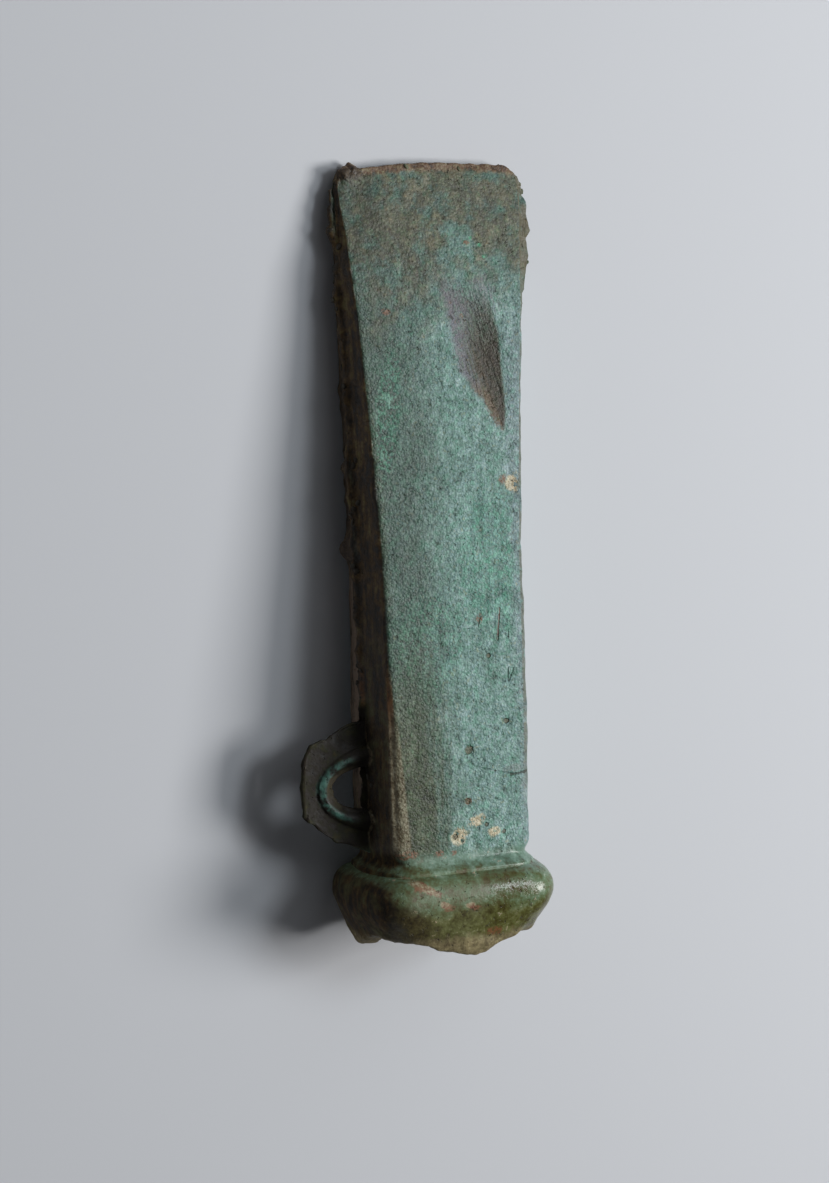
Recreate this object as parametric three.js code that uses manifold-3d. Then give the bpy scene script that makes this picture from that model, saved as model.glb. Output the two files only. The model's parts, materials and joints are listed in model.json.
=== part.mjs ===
// Bronze Age socketed axe head with one side loop, a single bronze casting.
//
// Millimetres. The casting is worked out in its own axes first: x across its
// width with the loop on the -x side, y along its length from the rim of the
// socket (y = 0) to the cutting edge, z through its thickness with the front
// broad face at +z. It is then laid on its back, where it rests on the collar
// and on the shoulder of the blade, with +z up.

import * as THREE from 'three';
import { ParametricGeometry } from 'three/addons/geometries/ParametricGeometry.js';
import { mergeVertices } from 'three/addons/utils/BufferGeometryUtils.js';
import Module from 'manifold-3d';

// Length, and the width of the broad faces
const axeLength = 120;
const bodyWidth = 23.4;
const waistWidth = 24.6;
const waistAt = 58;
const bladeWidth = 31.8;
const bladeFlare = 1.3;

// Thickness of the wedge
const bodyThickness = 16.8;
const shoulderThickness = 7.5;
const bladeBevelLength = 18.3;
const bevelCurve = 0.9;
const wedgeCurve = 1.2;
const wedgeCrown = 0.5;
const edgeThickness = 0.7;

// Cutting edge: rounded ends and a slight bow
const edgeCornerRadius = 3.6;
const edgeBow = 0.7;
const edgeBowReach = 12;

// Long corners of the body, worn rounder towards the socket
const bodyCornerRadius = 1.7;
const bladeCornerRadius = 0.5;
const sideBulge = 0.8;

// Fin of metal left at the mould seam, with the lumps that stand on it
const seamFinHeight = 0.7;
const seamFinWidth = 1.6;
const seamFinFade = 4;
const seamSwell = { at: 68, rise: 0.7, reach: 17 };
const loopSideLumps = [
  { at: 60.5, rise: 0.8, reach: 1.9 },
  { at: 73.5, rise: 0.5, reach: 1.8 },
  { at: 100.5, rise: 0.6, reach: 2.2 },
  { at: 111, rise: 0.7, reach: 2.4 },
];
const farSideLumps = [
  { at: 48, rise: 0.5, reach: 3 },
  { at: 82, rise: 0.4, reach: 4 },
  { at: 102.5, rise: 1.1, reach: 2.6 },
  { at: 107.5, rise: 1.3, reach: 2.4 },
  { at: 111.5, rise: 1.2, reach: 2 },
];

// Collar round the mouth, measured from the rim up: one full round bulge with a
// fine bead at the top of it, and a shallow neck below the body
const collarRidgeAt = 6.6;
const collarRise = 3.8;
const collarRings = 20;
const collarCornerRadius = 5;
const beadAt = 10.9;
const beadRise = 1.4;
const beadWidth = 0.8;
const neckAt = 12.7;
const neckDepth = 0.2;
const bodyStartsAt = 14.4;
const bodyFootRound = 0.8;

// Ragged rim: tongues of metal that reach past the plane of the mouth
const rimTongues = [
  { side: 'front', centre: 1.2, reach: 6, length: 3 },
  { side: 'loop', centre: -5.5, reach: 3.4, length: 2.3 },
  { side: 'back', centre: -2.5, reach: 5, length: 1.4 },
];
const rimTongueDepth = 1;
const rimRipple = 0.3;
const rimRippleWaves = 4;
const rimLipHeight = 5;
const lipRise = 1.2;
const lipRounding = 0.5;

// Socket
const socketDepth = 85;
const faceWall = 2.6;
const sideWall = 2.6;
const socketFloorWidth = 15;
const socketFloorThickness = 3.4;
const socketCornerRadius = 2.2;

// Loop on the narrow side, with the fin of the mould seam round it
const loopAt = 23.7;
const loopEyeHeight = 6.6;
const loopEyeReach = 6.2;
const loopBar = 2.7;
const loopRootFlare = 0.9;
const loopSquareness = 0.82;
const loopFinReach = 2.1;
const loopFinHeight = 18.3;
const loopFinThickness = 1.1;
const loopFinRoot = 2;
// Corners of the fin: share of its reach, then millimetres in from its top or foot
const loopFinTop = [
  [0.09, -1.15],
  [0.265, -1.3],
  [0.486, -0.05],
  [0.64, 1.15],
  [0.7, 1],
  [0.77, 1.25],
  [0.865, 1.8],
  [0.945, 2.75],
  [0.975, 4],
  [1, 6],
];
const loopFinFoot = [
  [1, 5.4],
  [0.97, 4.7],
  [0.92, 4.3],
  [0.85, 4.1],
  [0.77, 2.9],
  [0.675, 2.1],
  [0.58, 1.45],
  [0.52, 0.65],
  [0.44, 0.8],
  [0.345, 0.5],
  [0.265, 0],
];

// Scoop in the front face, near its right edge
const scoop = { from: 78.5, to: 103.5, fromX: 9.6, toX: 2.6, halfWidth: 3.3, depth: 0.75, bend: 1.4 };

// Fineness of the surface
const faceSpans = 13;
const cornerSpans = 4;
const sideStop = 0.55;
const bodyRingStep = 2.6;
const socketRings = 13;
const loopRings = 20;
const loopSides = 12;

const wasm = await Module();
wasm.setup();

const { lerp, clamp, smoothstep } = THREE.MathUtils;

function swell(position, { at, rise, reach }) {
  return rise * Math.exp(-(((position - at) / reach) ** 2));
}

// Width of the broad faces at a distance from the rim
function widthAt(y) {
  if (y <= waistAt) {
    return lerp(bodyWidth, waistWidth, clamp(y / waistAt, 0, 1));
  }
  const along = (y - waistAt) / (axeLength - waistAt);
  const flared = waistWidth + (bladeWidth - waistWidth) * along ** bladeFlare;
  const short = edgeCornerRadius - (axeLength - y);
  if (short <= 0) {
    return flared;
  }
  const rounding = edgeCornerRadius - Math.sqrt(edgeCornerRadius ** 2 - short ** 2);
  return flared - 2 * rounding;
}

// Thickness between the broad faces at a distance from the rim
function thicknessAt(y) {
  const shoulderAt = axeLength - bladeBevelLength;
  if (y >= shoulderAt) {
    const along = (axeLength - y) / bladeBevelLength;
    return edgeThickness + (shoulderThickness - edgeThickness) * along ** bevelCurve;
  }
  const along = clamp((y - bodyStartsAt) / (shoulderAt - bodyStartsAt), 0, 1);
  const wedge = lerp(bodyThickness, shoulderThickness, along ** wedgeCurve);
  return wedge + wedgeCrown * 4 * along * (1 - along);
}

// How far the collar stands out from the body at a distance from the rim
const collarProfile = new THREE.CatmullRomCurve3(
  [
    [0, lipRise - lipRounding],
    [lipRounding, lipRise],
    [0.32 * collarRidgeAt, 0.56 * collarRise],
    [0.52 * collarRidgeAt, 0.76 * collarRise],
    [0.74 * collarRidgeAt, 0.93 * collarRise],
    [collarRidgeAt, collarRise],
    [lerp(collarRidgeAt, beadAt, 0.36), 0.94 * collarRise],
    [lerp(collarRidgeAt, beadAt, 0.66), 0.77 * collarRise],
    [lerp(collarRidgeAt, beadAt, 0.84), 0.54 * collarRise],
    [beadAt - beadWidth / 2, 0.9 * beadRise],
    [beadAt, beadRise],
    [beadAt + beadWidth / 2, 0.7 * beadRise],
    [lerp(beadAt, neckAt, 0.6), 0.16 * beadRise],
    [neckAt, -neckDepth],
    [bodyStartsAt - bodyFootRound, -0.35 * neckDepth],
    [bodyStartsAt, 0],
  ].map(([y, out]) => new THREE.Vector3(out, y, 0)),
  false,
  'centripetal',
);

// Height of the seam fin on one narrow side
function finAt(y, lumps) {
  let height = seamFinHeight + swell(y, seamSwell);
  for (const lump of lumps) {
    height += swell(y, lump);
  }
  const startsAtBody = smoothstep(y, beadAt, bodyStartsAt + seamFinFade);
  const endsAtEdge = smoothstep(axeLength - y, 0, edgeCornerRadius);
  return height * startsAtBody * endsAtEdge;
}

// One closed section of the casting is a walk round four sides and four
// corners. Each stop says where it is: a place along a side, or on a corner.
function walkRound() {
  const stops = [];
  const seamStops = [-sideStop, 'finBack', 0, 'finFront', sideStop];
  for (let i = 0; i <= faceSpans; i++) {
    stops.push({ side: 'front', along: -1 + (2 * i) / faceSpans });
  }
  addCorner(stops, 1, 1, 90, 0);
  for (const stop of [...seamStops].reverse()) {
    stops.push({ side: 'far', along: stop });
  }
  addCorner(stops, 1, -1, 0, -90);
  for (let i = 0; i <= faceSpans; i++) {
    stops.push({ side: 'back', along: 1 - (2 * i) / faceSpans });
  }
  addCorner(stops, -1, -1, -90, -180);
  for (const stop of seamStops) {
    stops.push({ side: 'loop', along: stop });
  }
  addCorner(stops, -1, 1, 180, 90);
  return stops;
}

// The face's own end stops stand for the two ends of a corner that lie on it
function addCorner(stops, signX, signZ, fromDegrees, toDegrees) {
  for (let i = 0; i <= cornerSpans; i++) {
    const degrees = lerp(fromDegrees, toDegrees, i / cornerSpans);
    const onBroadFace = Math.abs(Math.abs(degrees) - 90) < 1;
    if (!onBroadFace) {
      stops.push({ side: 'corner', signX, signZ, angle: THREE.MathUtils.degToRad(degrees) });
    }
  }
}

const stops = walkRound();

// A stop's place across the section, in x and z
function placeStop(stop, section) {
  const { halfWidth, halfThickness, corner, bulge, finLoop, finFar } = section;
  const flatX = halfWidth - corner;
  const flatZ = halfThickness - corner;
  if (stop.side === 'corner') {
    return {
      x: stop.signX * flatX + corner * Math.cos(stop.angle),
      z: stop.signZ * flatZ + corner * Math.sin(stop.angle),
    };
  }
  if (stop.side === 'front' || stop.side === 'back') {
    return { x: stop.along * flatX, z: stop.side === 'front' ? halfThickness : -halfThickness };
  }
  const finHalfWidth = Math.min(seamFinWidth / 2, 0.4 * flatZ);
  let z = stop.along * flatZ;
  if (stop.along === 'finBack' || stop.along === 'finFront') {
    z = stop.along === 'finBack' ? -finHalfWidth : finHalfWidth;
  }
  const fin = stop.side === 'loop' ? finLoop : finFar;
  const out = bulge * (1 - (z / flatZ) ** 2) + (stop.along === 0 ? fin : 0);
  return { x: (halfWidth + out) * (stop.side === 'loop' ? -1 : 1), z };
}

// The section of the outside at a distance from the rim
function outerSection(y, outset) {
  const halfWidth = widthAt(y) / 2 + outset;
  const halfThickness = thicknessAt(y) / 2 + outset;
  const alongBody = clamp(y / axeLength, 0, 1);
  const wornCorner = lerp(bodyCornerRadius, bladeCornerRadius, alongBody);
  const onCollar = 1 - smoothstep(y, beadAt, bodyStartsAt);
  const corner = lerp(wornCorner, collarCornerRadius, onCollar);
  return {
    halfWidth,
    halfThickness,
    corner: Math.min(corner, 0.6 * halfThickness),
    bulge: sideBulge * Math.min(1, halfThickness / shoulderThickness),
    finLoop: finAt(y, loopSideLumps),
    finFar: finAt(y, farSideLumps),
  };
}

// The section of the socket at a depth from the rim
function socketSection(depth) {
  const along = depth / socketDepth;
  const mouthWidth = bodyWidth - 2 * sideWall;
  const mouthThickness = bodyThickness - 2 * faceWall;
  const halfWidth = lerp(mouthWidth, socketFloorWidth, along) / 2;
  const halfThickness = lerp(mouthThickness, socketFloorThickness, along) / 2;
  const corner = Math.min(socketCornerRadius, 0.6 * halfThickness);
  return { halfWidth, halfThickness, corner, bulge: 0, finLoop: 0, finFar: 0 };
}

// Depth of the scoop in the front face
function scoopAt(x, y) {
  const along = (y - scoop.from) / (scoop.to - scoop.from);
  if (along <= 0 || along >= 1) {
    return 0;
  }
  const centre = lerp(scoop.fromX, scoop.toX, along ** scoop.bend);
  const leaf = Math.sin(Math.PI * along);
  const across = Math.abs(x - centre) / (scoop.halfWidth * Math.sqrt(leaf));
  return across < 1 ? scoop.depth * leaf * (1 - across * across) ** 2 : 0;
}

// How far the ragged rim reaches past the plane of the mouth at a place on it
function rimReach(x, z) {
  const round = Math.atan2(z / bodyThickness, x / bodyWidth);
  const ripple = Math.sin(rimRippleWaves * round) + 0.5 * Math.sin(2.5 * rimRippleWaves * round + 1);
  const insideX = Math.max(0, bodyWidth / 2 - sideWall - Math.abs(x));
  const insideZ = Math.max(0, bodyThickness / 2 - faceWall - Math.abs(z));
  let reach = rimRipple * ripple;
  for (const { side, centre, reach: spread, length } of rimTongues) {
    const onSide = { front: z > 0, back: z < 0, loop: x < 0 }[side];
    if (onSide) {
      const place = side === 'loop' ? z : x;
      const inside = side === 'loop' ? insideX : insideZ;
      reach += swell(place, { at: centre, rise: length, reach: spread }) * Math.exp(-inside / rimTongueDepth);
    }
  }
  return reach;
}

// The rings of the skin, from the cutting edge down the outside, round the
// rim and up inside to the floor of the socket. Each gives a point per stop.
function skinRings() {
  const rings = [];
  const addOuter = (y, outset, flattened = false) => {
    const section = outerSection(y, outset);
    rings.push((number) => {
      const { x, z } = placeStop(stops[number], section);
      const bow = edgeBow * (x / section.halfWidth) ** 2 * smoothstep(y, axeLength - edgeBowReach, axeLength);
      const onFront = stops[number].side === 'front';
      const depth = onFront ? scoopAt(x, y) : 0;
      const lip = 1 - smoothstep(y, 0, rimLipHeight);
      const ragged = lip > 0 ? lip * rimReach(x, z) : 0;
      const across = flattened ? clamp(x, -section.halfWidth, section.halfWidth) : x;
      return new THREE.Vector3(across, y - bow - ragged, flattened ? 0 : z - depth);
    });
  };
  const addSocket = (depth, shrink, flattened = false) => {
    const section = socketSection(depth);
    section.halfWidth -= shrink;
    section.halfThickness -= shrink;
    const atRim = 1 - smoothstep(depth, 0, rimLipHeight);
    rings.push((number) => {
      const { x, z } = placeStop(stops[number], section);
      const ragged = atRim > 0 ? atRim * rimReach(x, z) : 0;
      return new THREE.Vector3(x, depth - ragged, flattened ? 0 : z);
    });
  };

  addOuter(axeLength, 0, true);
  for (const back of [0, 0.1, 0.3, 0.6, 1]) {
    addOuter(axeLength - back * edgeCornerRadius, 0);
  }
  const bodyTop = axeLength - edgeCornerRadius;
  const bodyRings = Math.round((bodyTop - bodyStartsAt) / bodyRingStep);
  for (let i = 1; i <= bodyRings; i++) {
    addOuter(lerp(bodyTop, bodyStartsAt, i / bodyRings), 0);
  }
  for (let i = 1; i <= collarRings; i++) {
    const point = collarProfile.getPoint(1 - i / collarRings);
    addOuter(point.y, point.x);
  }
  addSocket(0, -lipRounding);
  for (let i = 0; i <= socketRings; i++) {
    addSocket(lerp(lipRounding, socketDepth, i / socketRings), 0);
  }
  addSocket(socketDepth, 0, true);
  return rings;
}

// A closed geometry with shared corners and no slivers, as a solid
function toSolid(geometry) {
  const bare = geometry.clone();
  bare.deleteAttribute('normal');
  bare.deleteAttribute('uv');
  const merged = mergeVertices(bare, 1e-4);
  const corners = merged.index.array;
  const triangles = [];
  for (let i = 0; i < corners.length; i += 3) {
    const [a, b, c] = corners.slice(i, i + 3);
    if (a !== b && b !== c && c !== a) {
      triangles.push(a, b, c);
    }
  }
  const mesh = new wasm.Mesh({
    numProp: 3,
    vertProperties: new Float32Array(merged.attributes.position.array),
    triVerts: new Uint32Array(triangles),
  });
  return new wasm.Manifold(mesh);
}

function toGeometry(solid) {
  const mesh = solid.getMesh();
  const geometry = new THREE.BufferGeometry();
  geometry.setAttribute('position', new THREE.BufferAttribute(mesh.vertProperties, 3));
  geometry.setIndex(new THREE.BufferAttribute(mesh.triVerts, 1));
  geometry.computeVertexNormals();
  return geometry;
}

function makeSkin() {
  const rings = skinRings();
  const across = (u, v, target) => {
    const number = Math.round((1 - u) * stops.length) % stops.length;
    target.copy(rings[Math.round(v * (rings.length - 1))](number));
  };
  return new ParametricGeometry(across, stops.length, rings.length - 1);
}

// The round bar of the loop, thicker where it springs from the narrow side
const loopRootX = -bodyWidth / 2 - sideBulge;
const loopHalfTurn = THREE.MathUtils.degToRad(112);
const loopRise = loopEyeHeight / 2 + loopBar / 2;
const loopReach = loopEyeReach + loopBar / 2;

// A place along the middle of the bar: -1 and 1 are its ends, inside the body
function loopPoint(turn) {
  const angle = turn * loopHalfTurn;
  const up = Math.sign(turn) * Math.abs(Math.sin(angle)) ** loopSquareness;
  return new THREE.Vector3(
    loopRootX - loopReach * Math.cos(angle),
    loopAt + (loopRise + loopRootFlare * turn * turn) * up,
    0,
  );
}

function makeLoopBar() {
  const through = new THREE.Vector3(0, 0, 1);
  const across = (u, v, target) => {
    const turn = 2 * v - 1;
    const step = 1e-3;
    const centre = loopPoint(turn);
    const along = loopPoint(turn + step).sub(loopPoint(turn - step)).normalize();
    const out = new THREE.Vector3().crossVectors(along, through);
    const angle = -2 * Math.PI * u;
    const closed = v === 0 || v === 1;
    const radius = closed ? 0 : loopBar / 2 + loopRootFlare * turn * turn;
    target.copy(centre);
    target.addScaledVector(out, radius * Math.cos(angle));
    target.addScaledVector(through, radius * Math.sin(angle));
  };
  return new ParametricGeometry(across, loopSides, loopRings);
}

// The fin round the loop: a thin angular plate in the plane of the seam
function makeLoopFin() {
  const tip = loopRootX - loopReach - loopBar / 2 - loopFinReach;
  const half = loopFinHeight / 2;
  const inside = loopRootX + loopFinRoot;
  const outline = new THREE.Shape();
  outline.moveTo(inside, loopAt + half + loopFinRoot);
  for (const [share, drop] of loopFinTop) {
    outline.lineTo(lerp(loopRootX, tip, share), loopAt + half - drop);
  }
  for (const [share, rise] of loopFinFoot) {
    outline.lineTo(lerp(loopRootX, tip, share), loopAt - half + rise);
  }
  outline.lineTo(inside, loopAt - half - loopFinRoot);
  for (let i = 0; i <= loopRings; i++) {
    const point = loopPoint(-1 + (2 * i) / loopRings);
    if (point.x < inside) {
      outline.lineTo(point.x, point.y);
    }
  }
  const fin = new THREE.ExtrudeGeometry(outline, { depth: loopFinThickness, bevelEnabled: false });
  fin.translate(0, 0, -loopFinThickness / 2);
  return fin;
}

// Laid on its back, the casting rests on the two places that its lower
// outline spans under its middle: find them, and turn it until they are level.
function restingTurn(geometry) {
  const position = geometry.attributes.position;
  const points = [];
  for (let i = 0; i < position.count; i++) {
    points.push([position.getY(i), position.getZ(i)]);
  }
  points.sort((a, b) => a[0] - b[0] || a[1] - b[1]);
  const hull = [];
  for (const point of points) {
    while (hull.length > 1 && turnsDown(hull.at(-2), hull.at(-1), point)) {
      hull.pop();
    }
    hull.push(point);
  }
  const middle = axeLength / 2;
  const next = hull.findIndex(([y]) => y > middle);
  const [fromY, fromZ] = hull[next - 1];
  const [toY, toZ] = hull[next];
  return -Math.atan2(toZ - fromZ, toY - fromY);
}

function turnsDown([ay, az], [by, bz], [cy, cz]) {
  return (by - ay) * (cz - az) - (bz - az) * (cy - ay) <= 0;
}

const bronze = new THREE.MeshStandardMaterial({ color: 0x5f8f7f, roughness: 0.7, metalness: 0.35 });
bronze.name = 'patinated_bronze';

const casting = toSolid(makeSkin()).add(toSolid(makeLoopBar())).add(toSolid(makeLoopFin()));
const axeHead = new THREE.Mesh(toGeometry(casting), bronze);
axeHead.name = 'axe_head';
axeHead.rotation.x = restingTurn(axeHead.geometry);

const axe = new THREE.Group();
axe.add(axeHead);
axe.updateMatrixWorld(true);
const laid = new THREE.Box3().setFromObject(axe, true);
const middle = laid.getCenter(new THREE.Vector3());
axe.position.set(-middle.x, -middle.y, -laid.min.z);

export default axe;
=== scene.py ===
"""A Late Bronze Age socketed axe head, lying on its back.

The casting comes first, with its relief and its patina, then the crumbs of
corrosion on its seams, and last the floor, the lights and the camera.
Lengths are metres in the frame's axes. Where a value ends in _MM, and in the
materials, they are millimetres in the casting's own axes: x across its width
with the loop on the -x side, y from the rim of the socket to the cutting
edge, z out of the front broad face.
"""

import json
import math

import bmesh
import bpy
import numpy as np
from mathutils import Matrix, Vector, noise


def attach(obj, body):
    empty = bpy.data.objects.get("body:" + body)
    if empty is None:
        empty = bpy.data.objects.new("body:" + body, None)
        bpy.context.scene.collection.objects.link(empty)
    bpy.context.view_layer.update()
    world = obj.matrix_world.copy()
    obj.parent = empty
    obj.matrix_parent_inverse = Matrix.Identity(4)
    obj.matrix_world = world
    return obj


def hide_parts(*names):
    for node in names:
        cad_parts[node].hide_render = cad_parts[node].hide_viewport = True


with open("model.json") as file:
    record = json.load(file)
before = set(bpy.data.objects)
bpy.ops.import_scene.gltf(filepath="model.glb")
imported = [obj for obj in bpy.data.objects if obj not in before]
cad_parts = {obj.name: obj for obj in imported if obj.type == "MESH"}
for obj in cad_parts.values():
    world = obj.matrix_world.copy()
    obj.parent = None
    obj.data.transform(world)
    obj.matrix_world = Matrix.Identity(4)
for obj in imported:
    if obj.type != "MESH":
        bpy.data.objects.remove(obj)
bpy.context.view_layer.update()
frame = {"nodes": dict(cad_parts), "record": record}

# The axe head
# One bronze casting: a long hollow wedge with a thick collar round its mouth
# and a loop on one side, poured in a two-part mould and left with its seams.
# Three thousand years in the ground have given it a pitted green patina.

MM = 0.001
SOCKET_DEPTH_MM = 85.0

seat = next(m for m in frame["record"]["mounts"] if m["name"] == "haft_seat")
along = -Vector(seat["axis"]).normalized()
across = Vector((1, 0, 0))
outward = across.cross(along)
mouth = Vector(seat["pos_m"]) - along * SOCKET_DEPTH_MM * MM
axes = Matrix((across, along, outward)).transposed()


def casting_mesh():
    """The CAD casting as a smooth closed mesh: its triangles joined to quads and subdivided."""
    mesh = frame["nodes"]["axe_head"].data.copy()
    mesh.materials.clear()
    shape = bmesh.new()
    shape.from_mesh(mesh)
    bmesh.ops.remove_doubles(shape, verts=shape.verts, dist=1e-6)
    bmesh.ops.join_triangles(
        shape,
        faces=shape.faces,
        angle_face_threshold=math.radians(50),
        angle_shape_threshold=math.radians(60),
    )
    shape.to_mesh(mesh)
    shape.free()
    draft = bpy.data.objects.new("axe_draft", mesh)
    bpy.context.scene.collection.objects.link(draft)
    smooth = draft.modifiers.new("smooth", "SUBSURF")
    smooth.levels = smooth.render_levels = 2
    evaluated = draft.evaluated_get(bpy.context.evaluated_depsgraph_get())
    result = bpy.data.meshes.new_from_object(evaluated)
    bpy.data.objects.remove(draft)
    return result


def fade(value, low, high):
    """0 at low, 1 at high, smooth between. low may be above high."""
    share = min(1.0, max(0.0, (value - low) / (high - low)))
    return share * share * (3 - 2 * share)


def hump(*distances):
    """1 at the middle of a round hump or hollow, falling to 0 about one distance out."""
    return math.exp(-sum(d * d for d in distances))


def on_casting(mesh):
    """The places and normals of a mesh's corners in the casting's axes, places in millimetres."""
    places = np.empty(len(mesh.vertices) * 3)
    normals = np.empty(len(mesh.vertices) * 3)
    mesh.vertices.foreach_get("co", places)
    mesh.vertex_normals.foreach_get("vector", normals)
    turn = np.array(axes)
    return (places.reshape(-1, 3) - np.array(mouth)) @ turn / MM, normals.reshape(-1, 3) @ turn


# Pits in the front face: x, y, radius, depth. The first seven are open holes.
PITS_MM = [
    (8.0, 33.3, 0.6, 0.35),
    (1.3, 29.3, 0.9, 0.3),
    (0.8, 21.4, 0.55, 0.15),
    (3.9, 17.4, 0.45, 0.25),
    (6.9, 16.0, 0.5, 0.3),
    (5.4, 43.7, 0.5, 0.3),
    (-1.6, 16.0, 0.6, 0.35),
    (4.6, 69.0, 0.5, 0.25),
    (-5.2, 80.0, 0.5, 0.25),
    (-8.0, 28.5, 0.9, 0.2),
]
OPEN_HOLES = 7
GOUGE_FOOT_MM = (9.6, 78.5)
GOUGE_HEAD_MM = (2.0, 103.5)
CHIP_MM = (10.9, 70.0)
CHIP_DEPTH_MM = 0.55
CRACK_MM = [(1.9, 26.8), (8.9, 24.9), (12.2, 25.0)]
CRACK_DEPTH_MM = 0.3
BELOW_CRACK_MM = 0.14
# The corner beside the loop is worn to a bevel, which is the wider towards its foot
CORNER_MM = 12.1
BEVEL_MM = 1.3
BEVEL_DEPTH_MM = 0.4
BEVEL_WIDENS_BELOW_MM = 35
BEVEL_WIDENS = 0.072
BURR_MM = (-13.8, 119.5)
# Lumps on the narrow side with the loop: y, z, half length, height
SIDE_LUMPS_MM = [
    (110.5, 0.0, 1.5, 0.5),
    (100.0, 0.0, 1.4, 0.4),
    (88.0, -0.5, 1.0, 0.3),
    (73.4, -2.4, 1.4, 1.3),
    (60.7, -3.4, 1.9, 2.1),
    (51.0, 0.0, 1.2, 0.35),
]


def crack_line(x):
    """Where the crack runs across the front face: its y at an x."""
    return float(np.interp(x, [p[0] for p in CRACK_MM], [p[1] for p in CRACK_MM]))


def mould_relief(point, rotten):
    """The unevenness of the mould, and the roughness and pits of rot where the skin is rotten."""
    out = 0.16 * noise.noise(point / 8.5) + 0.08 * noise.noise(point / 3.1 + Vector((5, 0, 2)))
    out += rotten * 0.13 * noise.noise(point / 1.9 + Vector((0, 9, 4)))
    return out - rotten * 0.3 * max(0.0, noise.noise(point / 1.5 + Vector((2, 1, 7))) - 0.28)


def front_relief(x, y):
    """The pits, the chip, the crack, the strokes in the gouge and the bevel of the front face."""
    out = 0.0
    for pit_x, pit_y, radius, depth in PITS_MM:
        out -= depth * hump((x - pit_x) / radius, (y - pit_y) / radius)
    out -= CHIP_DEPTH_MM * hump((x - CHIP_MM[0]) / 1.5, (y - CHIP_MM[1]) / 1.3)
    if CRACK_MM[0][0] < x < CRACK_MM[2][0]:
        deeper = fade(x, CRACK_MM[0][0], CRACK_MM[2][0])
        below = crack_line(x) - y
        out -= deeper * CRACK_DEPTH_MM * hump(below / 0.5)
        out -= deeper * BELOW_CRACK_MM * fade(below, 0.0, 0.7) * fade(below, 7.0, 1.0)
    run = Vector(GOUGE_HEAD_MM) - Vector(GOUGE_FOOT_MM)
    reach = Vector((x, y)) - Vector(GOUGE_FOOT_MM)
    share = reach.dot(run) / run.length_squared
    if 0 < share < 1:
        beside = (reach.x * run.y - reach.y * run.x) / run.length
        stroke = noise.noise(Vector((beside / 1.1, share * 2.5, 3.0)))
        out += 0.2 * stroke * hump(beside / 3.2) * math.sin(math.pi * share)
    bevel = BEVEL_MM + BEVEL_WIDENS * (BEVEL_WIDENS_BELOW_MM - y)
    bevel += 0.5 * noise.noise(Vector((0, y / 3.0, 0)))
    from_corner = (x + CORNER_MM + 0.4 * fade(y, 30, 17)) / bevel
    return out - BEVEL_DEPTH_MM * fade(from_corner, 1.1, 0.0) * fade(y, 14.5, 17) * fade(y, 40, 33)


def seam_relief(x, y):
    """The ragged crest of a seam, which stands out most beside the blade away from the loop."""
    ragged = 0.25 + 0.45 * noise.noise(Vector((x, y / 1.5, 0.5)))
    ragged += 0.35 * noise.noise(Vector((x, y / 0.7, 2.5)))
    if x > 0:
        ragged += 0.6 * fade(y, 96, 102) * fade(y, 116, 111)
    return ragged


def loop_side_relief(point):
    """The lumps on the narrow side with the loop."""
    out = 0.5 * fade(point.y, 50, 60) * max(0.0, noise.noise(point / 2.0 + Vector((6, 6, 0))))
    for at_y, at_z, half, height in SIDE_LUMPS_MM:
        out += height * hump((point.y - at_y) / half, (point.z - at_z) / (0.75 * half))
    return out


def relief(place, facing):
    """How far the skin stands out at a place, in millimetres."""
    x, y, z = place
    point = Vector(place)
    front = fade(facing[2], 0.3, 0.7)
    narrow = fade(abs(facing[0]), 0.35, 0.8)
    rotten = max(fade(y, 88, 112), 0.8 * narrow, fade(y, 5, 0))
    out = mould_relief(point, rotten)
    if front > 0:
        out += front * front_relief(x, y)
    crest = narrow * hump(z / 0.75) * fade(y, 15, 22)
    if crest > 0.01:
        out += crest * seam_relief(x, y)
    if narrow > 0 and x < 0:
        out += narrow * loop_side_relief(point)
    burr = hump((x - BURR_MM[0]) / 2.1, (y - BURR_MM[1]) / 1.9)
    out += burr * (0.85 + 1.1 * noise.noise(point / 0.8))
    out += 0.35 * fade(y, 117.6, 119.4) * noise.noise(Vector((x / 2.4, 0, 1)))
    broken = Vector((x / 2.6, y / 5.0, z / 2.6)) + Vector((3, 3, 0))
    return out + fade(y, 2.5, 0.0) * (0.3 * noise.noise(broken) + 0.16 * noise.noise(broken * 2.6))


def carve(mesh):
    """Moves the skin by its relief, and notes which way it faced and where it is hollow."""
    places, normals = on_casting(mesh)
    moves = np.array([relief(p, n) for p, n in zip(places.tolist(), normals.tolist())])
    mesh.attributes.new("facing", "FLOAT_VECTOR", "POINT").data.foreach_set("vector", normals.ravel())
    edges = np.empty(len(mesh.edges) * 2, dtype=np.int64)
    mesh.edges.foreach_get("vertices", edges)
    one, other = edges.reshape(-1, 2).T
    count = np.bincount(np.concatenate((one, other)), minlength=len(places))[:, None]
    places += normals * moves[:, None]

    def spread(values):
        total = np.zeros_like(values)
        np.add.at(total, one, values[other])
        np.add.at(total, other, values[one])
        return total / count

    smoothed = places
    for _ in range(4):
        smoothed = 0.5 * smoothed + 0.5 * spread(smoothed)
    hollow = np.sum((smoothed - places) * normals, axis=1)[:, None]
    for _ in range(2):
        hollow = 0.5 * hollow + 0.5 * spread(hollow)
    mesh.attributes.new("hollow", "FLOAT", "POINT").data.foreach_set("value", hollow.ravel())
    mesh.vertices.foreach_set("co", (places * MM @ np.array(axes).T + np.array(mouth)).ravel())
    mesh.update()


axe_mesh = casting_mesh()
carve(axe_mesh)
axe_mesh.shade_smooth()
axe = bpy.data.objects.new("bronze_axe_head", axe_mesh)
bpy.context.scene.collection.objects.link(axe)


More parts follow.
